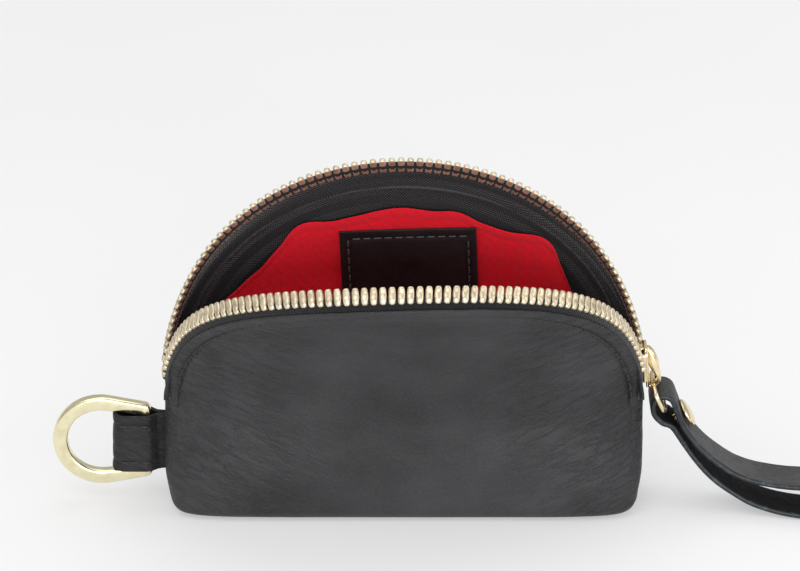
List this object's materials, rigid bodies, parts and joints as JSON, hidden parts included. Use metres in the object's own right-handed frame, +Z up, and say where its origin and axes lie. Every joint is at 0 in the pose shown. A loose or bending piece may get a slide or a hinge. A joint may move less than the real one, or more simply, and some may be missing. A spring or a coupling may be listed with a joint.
{
  "type": "coin purse",
  "caption": "Half-moon leather coin purse standing open, with a red lining, a metal zip over the arch, a wrist strap on the slider and a brass ring on a side tab.",
  "frame": {"origin": "centre of the flat base's underside", "axes": "+X from the side ring towards the zip slider and its strap, +Y from the front flap towards the rear panel, +Z up"},
  "size_m": [0.3023, 0.054, 0.0998],
  "materials": {
    "leather": "black pebbled grain, soft sheen",
    "strap_leather": "black, smooth, with painted edges",
    "lining": "red twill, matt",
    "zip_tape": "black herringbone tape",
    "zip_teeth": "polished light gold",
    "slider_metal": "polished gold",
    "ring_metal": "polished pale brass",
    "thread": "black waxed thread"
  },
  "bodies": {
    "pouch": {"rear_panel": "leather", "front_panel": "leather", "lining_rear": "lining", "lining_front": "lining", "zip_tape_rear": "zip_tape", "zip_chain_rear": "zip_teeth", "zip_top_stop_rear": "zip_teeth", "label": "leather", "edge_thread_rear": "thread"},
    "flap": {"front_flap": "leather", "lining_flap": "lining", "zip_tape_front": "zip_tape", "zip_chain_front": "zip_teeth", "zip_top_stop_front": "zip_teeth", "edge_thread_front": "thread"},
    "slider": {"slider_body": "slider_metal", "slider_bridge": "slider_metal"},
    "pull": {"pull_ring": "slider_metal"},
    "strap": {"wrist_strap": "strap_leather", "rivet_cap": "slider_metal", "rivet_post": "slider_metal"},
    "tab": {"ring_tab": "leather", "tab_thread_upper": "thread", "tab_thread_lower": "thread"},
    "side_ring": {"d_ring": "ring_metal"}
  },
  "joints": [
    {"name": "slider_travel", "type": "hinge", "parent": "pouch", "child": "slider", "pos_m": [0, 0, 0.0352], "axis": [0, -1, 0], "range_deg": [0, 160], "deforming": ["zip_chain_rear", "zip_chain_front", "zip_tape_rear", "zip_tape_front"]},
    {"name": "flap_close", "type": "hinge", "parent": "pouch", "child": "flap", "pos_m": [0, 0.002, 0.036], "axis": [-1, 0, 0], "range_deg": [0, 40.1]},
    {"name": "pull_swing", "type": "hinge", "parent": "slider", "child": "pull", "pos_m": [0.0659, 0, 0.0359], "axis": [0, 1, 0], "range_deg": [-60, 5]},
    {"name": "strap_swing", "type": "hinge", "parent": "pull", "child": "strap", "pos_m": [0.0692, 0, 0.0286], "axis": [0, 1, 0], "range_deg": [-50, 12]},
    {"name": "tab_flex", "type": "hinge", "parent": "pouch", "child": "tab", "pos_m": [-0.065, 0, 0.018], "axis": [0, 0, 1], "range_deg": [-10, 10]},
    {"name": "d_ring_swing", "type": "hinge", "parent": "tab", "child": "side_ring", "pos_m": [-0.0692, 0, 0.018], "axis": [0, 0, 1], "range_deg": [-25, 25]}
  ],
  "couplings": [
    {"joint": "flap_close", "follows": "slider_travel", "ratio": 0.25}
  ]
}
